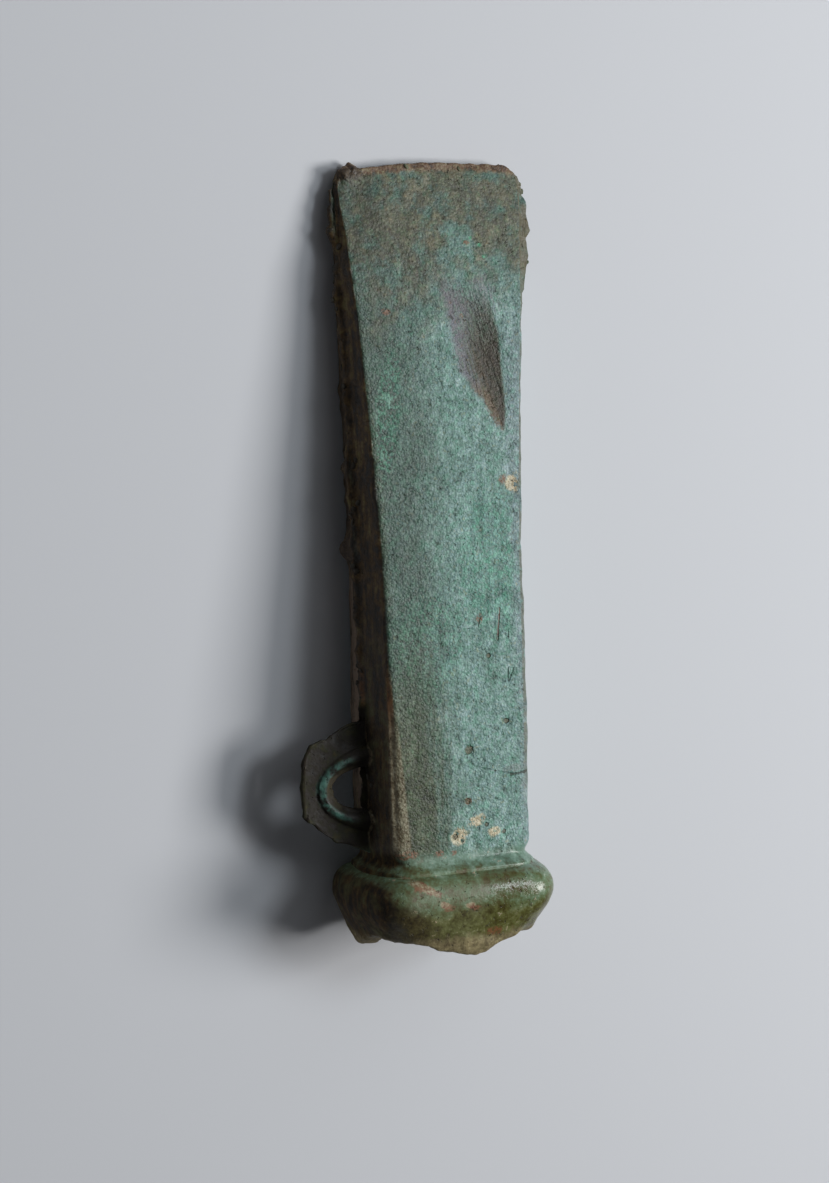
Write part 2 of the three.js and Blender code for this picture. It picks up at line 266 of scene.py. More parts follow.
def srgb(red, green, blue):
    """A colour given as the eye reads it, 0 to 255, in the linear light that shaders use."""
    shares = (red / 255, green / 255, blue / 255)
    return tuple(((c + 0.055) / 1.055) ** 2.4 if c > 0.04 else c / 12.92 for c in shares) + (1.0,)


class Value:
    """A socket of a node tree, so that sums with it read as Python and add the Math nodes."""

    def __init__(self, tree, socket):
        self.tree = tree
        self.socket = socket

    def maths(self, operation, first, second=0.0):
        return add_node(self.tree, "ShaderNodeMath", {"operation": operation}, {0: first, 1: second})

    def __add__(self, other):
        return self.maths("ADD", self, other)

    def __sub__(self, other):
        return self.maths("SUBTRACT", self, other)

    def __rsub__(self, other):
        return self.maths("SUBTRACT", other, self)

    def __mul__(self, other):
        return self.maths("MULTIPLY", self, other)

    def __truediv__(self, other):
        return self.maths("DIVIDE", self, other)

    def __pow__(self, other):
        return self.maths("POWER", self, other)

    def __abs__(self):
        return self.maths("ABSOLUTE", self)

    __radd__ = __add__
    __rmul__ = __mul__


def feed(tree, socket, given):
    """Links a value to an input socket, or sets the socket to a plain one."""
    if isinstance(given, Value):
        tree.links.new(given.socket, socket)
    else:
        socket.default_value = given


def set_stops(ramp, stops):
    """Gives a colour ramp its stops, each a place from 0 to 1 and a colour."""
    while len(ramp.elements) < len(stops):
        ramp.elements.new(1.0)
    for element, (place, colour) in zip(ramp.elements, stops):
        element.position = place
        element.color = colour


def add_node(tree, kind, settings=None, sockets=None, output=0):
    """Adds a node: its settings first, then the values or links of its input sockets."""
    made = tree.nodes.new(kind)
    for name, setting in (settings or {}).items():
        if name == "stops":
            set_stops(made.color_ramp, setting)
        else:
            setattr(made, name, setting)
    for name, given in (sockets or {}).items():
        feed(tree, made.inputs[name], given)
    return Value(tree, made.outputs[output])


class Patina:
    """A material for the bronze, painted in layers, on the casting's own axes in millimetres."""

    def __init__(self, name):
        self.material = bpy.data.materials.new(name)
        self.material.use_nodes = True
        self.tree = self.material.node_tree
        back = axes.transposed()
        turned = {
            "Vector": self.node("ShaderNodeTexCoord", output="Object"),
            "Location": -(back @ mouth) / MM,
            "Rotation": back.to_euler(),
            "Scale": (1 / MM, 1 / MM, 1 / MM),
        }
        self.place = self.node("ShaderNodeMapping", {"vector_type": "POINT"}, turned)
        self.x, self.y, self.z = self.parts(self.place)
        self.colour = None

    def node(self, kind, settings=None, sockets=None, output=0):
        return add_node(self.tree, kind, settings, sockets, output)

    def parts(self, vector):
        """The x, y and z of a vector, each a value of its own."""
        split = self.node("ShaderNodeSeparateXYZ", None, {0: vector}).socket.node
        return [Value(self.tree, socket) for socket in split.outputs]

    def step(self, value, low, high):
        """0 below low, 1 above high, smooth between. low may be above high."""
        sockets = {"Value": value, "From Min": low, "From Max": high}
        if low > high:
            sockets = {"Value": value, "From Min": high, "From Max": low, "To Min": 1.0, "To Max": 0.0}
        return self.node("ShaderNodeMapRange", {"interpolation_type": "SMOOTHSTEP"}, sockets)

    def grain(self, size, seed, detail=3.0, stretch=(1, 1, 1)):
        """Noise about 0.5, with blotches of about that size. A stretch below 1 draws it out."""
        drawn = {0: self.place, 1: tuple(s / size for s in stretch)}
        place = self.node("ShaderNodeVectorMath", {"operation": "MULTIPLY"}, drawn)
        sockets = {"Vector": place, "W": seed, "Scale": 1.0, "Detail": detail, "Roughness": 0.6}
        return self.node("ShaderNodeTexNoise", {"noise_dimensions": "4D"}, sockets)

    def granules(self, size, output):
        """Round grains of about that size: the Distance from their middles, or a Color for each."""
        drawn = {0: self.place, 1: (1 / size,) * 3}
        place = self.node("ShaderNodeVectorMath", {"operation": "MULTIPLY"}, drawn)
        return self.node("ShaderNodeTexVoronoi", None, {"Vector": place, "Scale": 1.0}, output=output)

    def paint(self, amount, colour, blend="MIX"):
        """Covers what is painted so far with a colour, where amount is 1."""
        sockets = {0: amount, 6: self.colour, 7: colour}
        settings = {"data_type": "RGBA", "blend_type": blend}
        self.colour = self.node("ShaderNodeMix", settings, sockets, output=2)

    def shade(self, amount, colour):
        """Multiplies what is painted so far by a colour, where amount is 1."""
        self.paint(amount, colour, "MULTIPLY")

    def ramp(self, value, *stops):
        """A colour that runs through the stops as value goes from 0 to 1."""
        coloured = [(place, srgb(*colour)) for place, colour in stops]
        return self.node("ShaderNodeValToRGB", {"stops": coloured}, {0: value})

    def spot(self, at_x, at_y, half_width, half_length, slant=0.0):
        """1 in an oval spot seen from the front, with a frayed outline, and 0 round it."""
        turn = math.radians(slant)
        from_x, from_y = self.x - at_x, self.y - at_y
        beside = (from_x * math.cos(turn) + from_y * math.sin(turn)) / half_width
        along_it = (from_y * math.cos(turn) - from_x * math.sin(turn)) / half_length
        reach = (beside * beside + along_it * along_it) ** 0.5
        return self.step(reach + self.fray, 1.2, 0.7) * self.on_front

    def scratch(self, start, end, half_width):
        """1 along a straight scratch on the front face, and 0 beside it."""
        run = Vector(end) - Vector(start)
        length = run.length
        run /= length
        from_x, from_y = self.x - start[0], self.y - start[1]
        along_it = from_x * run.x + from_y * run.y
        beside = from_x * run.y - from_y * run.x
        past = abs(along_it - length / 2) - length / 2
        past = past.maths("MAXIMUM", past, 0.0)
        reach = (beside * beside + past * past) ** 0.5
        return self.step(reach + self.fray * half_width, half_width, 0.2 * half_width) * self.on_front

    def outline(self, share, low, high, *stops):
        """A number between low and high that follows the stops as share goes from 0 to 1."""
        greys = [(place, ((number - low) / (high - low),) * 3 + (1.0,)) for place, number in stops]
        return self.node("ShaderNodeValToRGB", {"stops": greys}, {0: share}) * (high - low) + low

    def finish(self, roughness, height):
        """Gives the shader its colour, its roughness and its fine relief in millimetres."""
        raised = {"Strength": 1.0, "Distance": MM, "Height": height}
        normal = self.node("ShaderNodeBump", None, raised)
        shader = self.tree.nodes["Principled BSDF"]
        for name, given in (("Base Color", self.colour), ("Roughness", roughness), ("Normal", normal)):
            feed(self.tree, shader.inputs[name], given)


# Marks on the front face: x, y, half width, half length, and the slant in degrees where there is one
CREAM_SCABS_MM = [
    (2.2, 18.2, 1.4, 0.9, 20),
    (5.2, 16.2, 1.1, 0.8, 10),
    (-1.0, 15.9, 1.5, 1.3, 30),
    (10.8, 70.2, 1.1, 1.4, 30),
]
COLLAR_SCABS_MM = [(-8.6, 9.2, 3.0, 0.7, -28), (-5.3, 6.2, 1.1, 0.6, -20), (-1.0, 5.8, 1.0, 0.5, 0)]
RUST_SPOTS_MM = [
    (3.6, 96.4, 0.4, 0.5),
    (9.2, 70.9, 0.9, 0.8),
    (4.1, 49.6, 0.6, 0.9),
    (-9.2, 97.6, 0.8, 0.6),
    (5.3, 107.6, 0.6, 0.4),
    (-9.6, 9.0, 0.9, 0.5),
    (-4.6, 5.6, 1.0, 0.5),
    (0.2, 5.2, 0.8, 0.5),
    (0.8, 21.4, 0.7, 0.6),
    (-9.8, 13.9, 2.0, 0.8),
    (-4.4, 13.6, 0.9, 0.6),
    (-1.9, 13.5, 0.6, 0.5),
    (3.6, 1.0, 1.6, 0.8),
]
GREEN_GRAINS_MM = [(6.0, 108.3, 0.4, 0.3), (7.6, 107.2, 0.4, 0.3), (8.2, 105.4, 0.4, 0.3)]
# Short nicks: where each starts and ends, and half its width
NICKS_MM = [
    ((4.1, 49.6), (3.7, 48.4), 0.22),
    ((8.9, 47.2), (8.8, 46.4), 0.2),
    ((8.6, 41.6), (8.5, 39.6), 0.2),
    ((9.5, 41.4), (8.6, 39.4), 0.2),
]
LOOP_MIDDLE_MM = (-12.5, 23.7)
# Half the socket's width and height at the rim with a little to spare, and how they narrow
SOCKET_HALF_MM = (9.3, 5.95)
SOCKET_NARROWS = (0.0095, 0.048)

bronze = Patina("bronze_patina")
x, y, z = bronze.x, bronze.y, bronze.z
step, grain, ramp, spot, scratch = bronze.step, bronze.grain, bronze.ramp, bronze.spot, bronze.scratch
paint, shade = bronze.paint, bronze.shade

facing = bronze.node("ShaderNodeAttribute", {"attribute_name": "facing"}, output="Vector")
face_x, _, face_z = bronze.parts(facing)
hollow = bronze.node("ShaderNodeAttribute", {"attribute_name": "hollow"}, output="Fac")
on_front = bronze.on_front = step(face_z, 0.25, 0.6)

# Noise of five sizes, marks that are drawn out along the casting, and round grains
broad = grain(9.0, 1.0)
patchy = grain(3.2, 2.0)
mottle = grain(1.1, 3.0)
speckle = grain(0.42, 4.0, detail=2.0)
fine = grain(0.2, 5.0, detail=1.0)
drawn_out = grain(1.0, 6.0, stretch=(1, 0.16, 1))
granule = bronze.parts(bronze.granules(0.42, "Color"))[0]
roundness = bronze.granules(0.42, "Distance")
fray = bronze.fray = (mottle - 0.5) * 1.1 + (speckle - 0.5) * 0.8

# Verdigris: a blue-green crust of pale and deep grains
grains = (speckle - 0.5) * 0.35 + (granule - 0.5) * 0.17 + (mottle - 0.5) * 0.5 + (patchy - 0.5) * 0.45
grains = grains + (drawn_out - 0.5) * 0.35 + 0.5
bronze.colour = ramp(
    grains, (0.22, (44, 68, 60)), (0.4, (96, 128, 118)), (0.56, (130, 160, 152)), (0.8, (184, 204, 198))
)
emerald = ramp(grains, (0.28, (30, 68, 54)), (0.5, (74, 134, 114)), (0.76, (160, 208, 190)))
slate = ramp(grains, (0.24, (38, 52, 45)), (0.5, (83, 102, 94)), (0.8, (138, 161, 152)))
pale_blue_painted_light = ramp(grains, (0.24, (74, 88, 88)), (0.5, (120, 136, 138)), (0.8, (180, 194, 196)))
earth = ramp(
    grains, (0.22, (32, 28, 18)), (0.4, (66, 64, 48)), (0.58, (94, 96, 76)), (0.82, (146, 146, 126))
)
teal = ramp(grains, (0.24, (38, 58, 50)), (0.5, (84, 114, 102)), (0.8, (138, 166, 154)))
olive = ramp(grains, (0.26, (38, 44, 30)), (0.5, (78, 86, 62)), (0.8, (136, 146, 122)))
ochre = ramp(grains, (0.26, (58, 46, 32)), (0.52, (108, 94, 66)), (0.8, (150, 136, 108)))

# The grey band down the left half, the emerald fields, and a pale crust strip at the right, painted paler
# still as painted light where that edge catches the light
band = step(x + (broad - 0.5) * 9, 1.5, -7.5) * step(y, 20, 50)
paint(band * step(patchy, 0.25, 0.6) * on_front * 0.9, slate)
fields = spot(7.0, 58.0, 6.5, 13.0) * 0.8 + spot(-9.8, 82.0, 2.2, 11.0, -8)
fields = fields + spot(-5.0, 46.0, 7.0, 9.0) * 0.6
clustered = step(granule * 0.2 + speckle * 0.3 + mottle * 0.5, 0.44, 0.56)
paint(step(fields, 0.0, 1.0) * clustered * 0.85, emerald)
# Painted light: the right edge is painted pale, partly pale crust and partly painted light
right_strip_painted_light = step(x + (patchy - 0.5) * 4, 9.2, 11.2) * step(y, 102, 90)
paint(right_strip_painted_light * 0.7 * on_front, pale_blue_painted_light)

# Painted shade: the left of the face is painted darker, as if it turned away from the light, most of all
# near its foot
painted_left_shade = step(x + (broad - 0.5) * 5 + (drawn_out - 0.5) * 8, 2.5, -8.0) * step(y, 118, 90) * on_front
shade(painted_left_shade, srgb(212, 214, 207))
shade(painted_left_shade * step(y, 46, 18), srgb(176, 164, 138))

# Near the blade the crust has gone, and earth colours show with ochre in them
blade = step(y + (broad - 0.5) * 34 + (patchy - 0.5) * 14 - x * 0.3, 94, 110)
paint(blade, teal)
paint(blade * step(broad * 0.3 + patchy * 0.5 + mottle * 0.2, 0.42, 0.54), earth)
paint(blade * step(mottle * 0.5 + patchy * 0.5, 0.52, 0.66) * 0.45, ochre)
rot = step(grain(0.9, 12.0, detail=5.0), 0.48, 0.64) * spot(-7.5, 105.0, 7.5, 7.0)
paint(rot * 0.6, srgb(54, 46, 32))
corner = 11.8 + y * 0.01 + step(y, 55, 165) * 8
fringe = step(x + corner + fray * 1.5, 2.4, 0.2) * on_front * step(y, 40, 60)
paint(fringe * 0.6, olive)
# Painted shade: near the blade too, the left corner and the left of the face are painted darker
shade(fringe * step(y, 84, 98), srgb(198, 194, 180))
shade(step(x, -7.0, -10.5) * step(y, 84, 98) * on_front, srgb(224, 223, 218))

# Olive streaks at the left of the foot of the body
streaks = step(x + (drawn_out - 0.5) * 14, -1.0, -9.0) * step(y, 56, 26) * on_front
paint(streaks * 0.95, olive)
shade(streaks * step(y, 44, 24), srgb(222, 222, 214))

# The gouge: a flame that leans to the left, with its tip at the right. It is
# dark brown at the right, mauve at the left and ochre beside its tip.
rising = (y - 78) / 26
gouge_left = bronze.outline(
    rising,
    -2,
    12,
    *((0, 9.8), (0.06, 9.0), (0.2, 6.6), (0.31, 4.2), (0.38, 2.6), (0.6, 1.8), (0.78, 1.0), (1, -0.9)),
)
gouge_right = bronze.outline(
    rising, -2, 12, (0, 9.9), (0.14, 10.3), (0.6, 9.7), (0.78, 8.6), (0.9, 6.0), (1, 1.5)
)
into = (x - gouge_left) / (gouge_right - gouge_left + 0.01)
gouge = step(x - gouge_left + fray * 2, -0.7, 0.7) * step(gouge_right - x + fray * 0.7, -0.35, 0.4)
gouge = gouge * step(rising, 1.02, 0.8) * step(rising, 0.0, 0.03) * on_front
leaning = bronze.node(
    "ShaderNodeMapping",
    {"vector_type": "TEXTURE"},
    {"Vector": bronze.place, "Rotation": (0, 0, math.radians(16)), "Scale": (0.45, 5.0, 1.0)},
)
strokes = bronze.node(
    "ShaderNodeTexNoise",
    {"noise_dimensions": "4D"},
    {"Vector": leaning, "W": 7.0, "Scale": 1.0, "Detail": 3.0, "Roughness": 0.65},
)
streaky = strokes * 0.6 + mottle * 0.2 + speckle * 0.2
mauve = ramp(streaky, (0.32, (84, 78, 78)), (0.5, (116, 104, 112)), (0.68, (140, 132, 140)))
tarnish = ramp(streaky, (0.36, (50, 48, 36)), (0.6, (100, 100, 82)))
brown = ramp(streaky, (0.32, (36, 30, 23)), (0.5, (64, 54, 43)), (0.66, (96, 86, 70)))
rust = ramp(streaky, (0.3, (80, 64, 48)), (0.55, (112, 92, 68)), (0.75, (142, 124, 98)))
paint(gouge * step(into + (streaky - 0.5) * 3, 0.8, 0.1) * 0.8, mauve)
paint(spot(7.4, 98.6, 2.3, 4.0, 8) * step(strokes, 0.36, 0.56) * 0.55, mauve)
tarnished = gouge * step(into + (strokes - 0.5) * 1.6, 0.2, 0.55) * step(rising, 0.92, 0.7)
paint(tarnished * 0.7, tarnish)
darkest = step(into + (streaky - 0.5) * 2.4, 0.08, 0.58) * step(rising + (streaky - 0.5) * 0.9, 0.8, 0.5)
paint(gouge * darkest * 0.95, brown)
tip = step(into + (strokes - 0.5) * 0.8, 0.62, 0.3) * step(rising, 0.36, 0.22)
paint(gouge * tip * 0.9, rust)

# The same crust is bluer in some places and greener or browner in others
tint = grain(1.0, 13.0) + (bronze.parts(bronze.granules(0.5, "Color"))[1] - 0.5) * 0.14
tints = ramp(
    tint, (0.3, (255, 238, 214)), (0.42, (228, 240, 255)), (0.5, (246, 250, 250)), (0.64, (208, 250, 236))
)
shade(on_front * 0.8, tints)

# The cutting edge is bare and red-brown
lip = step(y + (mottle - 0.5) * 1.2 + x * x * 0.004, 118.4, 119.2)
paint(lip, ramp(grains, (0.3, (50, 38, 26)), (0.5, (104, 78, 56)), (0.74, (132, 124, 96))))

# The collar keeps a smooth dark green skin, olive below its ridge, with scabs and stains, and painted shade
# at its lower left
blotches = patchy * 0.4 + mottle * 0.4 + speckle * 0.2
neck = ramp(blotches, (0.36, (62, 76, 60)), (0.5, (104, 132, 114)), (0.64, (148, 172, 158)))
skin = ramp(
    blotches,
    (0.34, (62, 48, 24)),
    (0.42, (80, 74, 40)),
    (0.5, (86, 98, 64)),
    (0.58, (100, 122, 94)),
    (0.66, (146, 160, 134)),
)
underside = ramp(
    blotches, (0.34, (40, 30, 8)), (0.44, (66, 62, 24)), (0.54, (92, 92, 46)), (0.66, (132, 128, 90))
)
ring = step(y + (mottle - 0.5) * 2 + (patchy - 0.5) * 2, 14.8, 12.4)
paint(ring * 0.85, neck)
paint(step(y + x * 0.1 + (mottle - 0.5) * 2.5 + (patchy - 0.5) * 4, 12.6, 10.2), skin)
paint(ring * step(y + (patchy - 0.5) * 5, 6.4, 4.2) * 0.9, underside)
scabs = ring * step(mottle * 0.6 + speckle * 0.4, 0.59, 0.64) * step(patchy, 0.44, 0.56)
paint(scabs * 0.8, ramp(speckle, (0.3, (120, 84, 62)), (0.6, (176, 156, 128))))
# A dark brown stain at the lower left of the collar, painted darker still as painted shade
stain_and_painted_shade = step(x + y * 0.5 + (patchy - 0.5) * 8, -3.0, -9.0) * step(y, 7.5, 6.0)
paint(ring * stain_and_painted_shade * 0.8, ramp(blotches, (0.4, (30, 21, 4)), (0.6, (78, 64, 30))))

# The narrow side with the loop is brown-black, a brown patina painted darker as painted shade, greener near
# the loop, and painted paler behind the seam as painted light where the far half catches the light
brown_patina_and_shade = ramp(
    mottle * 0.3 + drawn_out * 0.4 + patchy * 0.3,
    (0.42, (24, 16, 3)),
    (0.48, (52, 36, 10)),
    (0.53, (80, 58, 24)),
    (0.6, (104, 92, 50)),
)
loop_side = step(face_x + (mottle - 0.5) * 0.4, -0.45, -0.8)
paint(loop_side, brown_patina_and_shade)
greened = loop_side * step(patchy * 0.6 + mottle * 0.4, 0.47, 0.58) * step(y, 60, 36)
paint(greened * 0.5, srgb(52, 66, 44))
painted_light_behind_seam = loop_side * step(z + (mottle - 0.5), -0.4, -1.2) * step(y, 16, 30)
paint(painted_light_behind_seam * 0.7, ramp(drawn_out, (0.35, (50, 38, 26)), (0.6, (98, 82, 66))))
palest_painted_light = step(y + (mottle - 0.5) * 5, 58, 55) * step(drawn_out, 0.42, 0.5)
paint(painted_light_behind_seam * palest_painted_light * 0.6, srgb(150, 128, 110))

# The loop is darker still, a dark patina deepened as painted shade, and green where its round bar is rubbed,
# with a painted highlight along the bar's crest
loop_zone = step(x, -12.6, -13.0) * step(y, 13, 15) * step(y, 38, 36)
loop_patina_and_shade = ramp(
    mottle * 0.5 + patchy * 0.5,
    (0.36, (12, 7, 1)),
    (0.48, (26, 17, 4)),
    (0.56, (34, 34, 14)),
    (0.66, (58, 50, 24)),
)
paint(loop_zone, loop_patina_and_shade)
from_eye_x, from_eye_y = (x - LOOP_MIDDLE_MM[0]) / 7.5, (y - LOOP_MIDDLE_MM[1]) / 4.7
round_eye = (from_eye_x * from_eye_x + from_eye_y * from_eye_y) ** 0.5
rubbed_green_and_highlight = step(abs(round_eye - 1.08), 0.14, 0.02) * step(x, -14.0, -18.0) * on_front
paint(loop_zone * rubbed_green_and_highlight * step(mottle * 0.6 + patchy * 0.4, 0.4, 0.6) * 0.8, srgb(80, 128, 116))

# Pale dirt has set hard on the rim
crust = step(y + (mottle - 0.5) * 3, 1.4, -0.6)
paint(crust * 0.8, ramp(grains, (0.3, (84, 72, 46)), (0.6, (146, 132, 96)), (0.8, (186, 176, 144))))

# Scabs, rust spots and green grains
cream = ramp(
    mottle * 0.5 + fine * 0.5, (0.34, (134, 100, 70)), (0.44, (182, 164, 128)), (0.6, (224, 216, 190))
)
flaked = step(granule * 0.3 + mottle * 0.7, 0.34, 0.46)
for place in CREAM_SCABS_MM:
    paint(spot(*place) * flaked * 0.9, cream)
ruddy = ramp(
    mottle * 0.5 + speckle * 0.5, (0.4, (112, 66, 50)), (0.5, (140, 116, 88)), (0.6, (176, 164, 138))
)
for place in COLLAR_SCABS_MM:
    paint(spot(*place) * 0.8, ruddy)
for place in RUST_SPOTS_MM:
    paint(spot(*place) * step(speckle, 0.4, 0.56) * 0.75, srgb(124, 78, 52))
for place in GREEN_GRAINS_MM:
    paint(spot(*place) * step(fine, 0.42, 0.56) * 0.6, srgb(84, 190, 144))

# Both long corners of the front face are worn: rust and a bare bevel at the left, brown at the right
away_from_loop = 1 - loop_zone
left_corner = step(face_z, 0.2, 0.45) * step(face_z, 0.97, 0.85) * step(face_x, -0.1, -0.4)
left_corner = left_corner * step(y, 14, 16) * step(y, 44, 38) * away_from_loop
paint(left_corner * 0.8, ramp(mottle, (0.35, (76, 50, 28)), (0.6, (128, 84, 46))))
past_bevel = x + CORNER_MM - BEVEL_MM - (BEVEL_WIDENS_BELOW_MM - y) * BEVEL_WIDENS + fray * 0.4
bevelled = step(past_bevel, 0.4, -0.2) * step(y, 39, 30) * step(y, 13.5, 15.5)
bevelled = bevelled * step(face_z, 0.15, 0.4) * away_from_loop
bare = ramp(
    mottle * 0.6 + speckle * 0.4, (0.36, (84, 68, 44)), (0.5, (124, 116, 92)), (0.64, (168, 164, 140))
)
paint(bevelled * 0.85, bare)
right_corner = step(face_x, 0.1, 0.35) * step(face_z, 0.1, 0.3) * step(y, 16, 30)
paint(right_corner * step(patchy, 0.35, 0.5) * 0.6, srgb(92, 82, 60))

# The hollows, the pits, the nicks and the crack are painted darker, and so is the inside of the socket
pits = step(grain(0.75, 8.0, detail=2.0), 0.63, 0.69)
holes = sum(spot(*at, 0.75 * radius, 0.75 * radius) for *at, radius, _ in PITS_MM[:OPEN_HOLES])
nicks = sum(scratch(*nick) for nick in NICKS_MM)
cracked = scratch((8.4, 24.8), (12.4, 25.1), 0.3) + scratch((2.5, 26.6), (8.6, 24.9), 0.16) * 0.35
cracked = cracked + scratch((9.6, 24.4), (11.0, 22.8), 0.14) * 0.4
darkened_hollows = step(pits * 0.7 + nicks * 0.5 + cracked + step(hollow, 0.02, 0.09) * 0.5, 0.0, 1.2)
paint(holes * 0.75, ramp(fine, (0.35, (60, 54, 38)), (0.6, (104, 92, 62))))
paint(darkened_hollows * 0.75, srgb(52, 48, 36))
scored = scratch((7.6, 51.0), (7.0, 46.2), 0.2)
paint(step(scored, 0.0, 1.0) * step(mottle, 0.3, 0.5) * 0.75, srgb(122, 84, 74))
beside_crack = spot(9.8, 25.9, 3.2, 0.7, 4) + spot(11.0, 23.4, 1.2, 0.9)
paint(beside_crack * step(mottle, 0.35, 0.6) * 0.55, srgb(118, 122, 122))
paint(spot(-13.4, 119.2, 2.6, 1.7) * 0.85, ramp(speckle, (0.35, (26, 20, 12)), (0.65, (66, 54, 38))))
inside = step(y, 86, 85.5)
for value, half, narrows in zip((x, z), SOCKET_HALF_MM, SOCKET_NARROWS):
    inside = inside * step(abs(value) - half + y * narrows, 0.15, 0.0)
paint(inside * 0.85, ramp(mottle, (0.35, (34, 30, 20)), (0.6, (70, 62, 44))))

# The skin is dull where it is crusted, and shines on the collar and the loop's bar
sheen = step(ring + loop_zone * 0.8 + loop_side * 0.4, 0.0, 1.0)
dull = 0.56 + (mottle - 0.5) * 0.4 + darkened_hollows * 0.2
smooth_skin = 0.26 + (patchy - 0.5) * 0.3 + (mottle - 0.5) * 0.25
smooth_skin = smooth_skin + crust * 0.35 + scabs * 0.2 + loop_side * 0.42 + loop_zone * (1 - rubbed_green_and_highlight) * 0.4
smooth_skin = smooth_skin + step(y, 9, 10.5) * (broad + mottle - 0.7) * 0.4
smooth_skin = smooth_skin + ring * step(x + (patchy - 0.5) * 8, 4.5, -1.5) * 0.28

# Fine relief, as heights in millimetres
rough = 1 - sheen * 0.85 - blade * on_front * 0.4
height = (speckle - 0.5) * 0.12 - roundness * 0.1 + granule * 0.05 + (mottle - 0.5) * 0.26
height = height * rough + (patchy - 0.5) * 0.2 + (streaky - 0.5) * gouge * 0.3 + scabs * 0.05
height = height - (pits * 0.12 + holes * 0.2 + nicks * 0.15 + scored * 0.15 + cracked * 0.2)
bronze.finish(dull * (1 - sheen) + smooth_skin * sheen, height)
axe_mesh.materials.append(bronze.material)

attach(axe, "root")
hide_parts("axe_head")

# The crumbs of corrosion
# Small flat lumps of mineral that have grown on the seams and the cutting
# edge, where the metal was thinnest. They are part of the crust.

SMALLEST_CRUMB_MM = 0.2
LARGEST_CRUMB_MM = 0.55
CRUMB_FLATNESS = 0.5
CRUMBS_A_SQUARE_MM = 0.3
CRUMB_SEED = 11
SPIN_SEED = 3
SIZE_SEED = 5
FULL_TURN = 6.28


def crumbly(place, facing):
    """1 where crumbs have grown thickest, 0 where there are none."""
    x, y, z = place
    seam = hump(z / 0.9) * fade(abs(facing[0]), 0.3, 0.7) * fade(y, 14, 30)
    edge = fade(y, 117.8, 119.2) * 0.25
    return max(seam, edge) * fade(noise.noise(Vector(place) / 6), -0.35, 0.25)


crumb_mesh = axe_mesh.copy()
crumb_mesh.materials.clear()
places, normals = on_casting(crumb_mesh)
growth = [crumbly(p, n) for p, n in zip(places.tolist(), normals.tolist())]
crumb_mesh.attributes.new("crumbly", "FLOAT", "POINT").data.foreach_set("value", growth)
crumbs = bpy.data.objects.new("corrosion_crumbs", crumb_mesh)
bpy.context.scene.collection.objects.link(crumbs)

grit = Patina("crumb_patina")
grit_grain = grit.grain(0.3, 2.0, detail=2.0) * 0.5 + grit.grain(5.0, 3.0) * 0.5
grit.colour = grit.ramp(
    grit_grain, (0.36, (52, 44, 32)), (0.46, (92, 82, 58)), (0.56, (92, 104, 80)), (0.68, (124, 134, 110))
)
grit.paint(grit.step(grit.x, -11.0, -12.5) * grit.step(grit.y, 118, 116) * 0.9, srgb(44, 36, 26))
grit.finish(0.6 + (grit_grain - 0.5) * 0.5, grit_grain * 0.1)


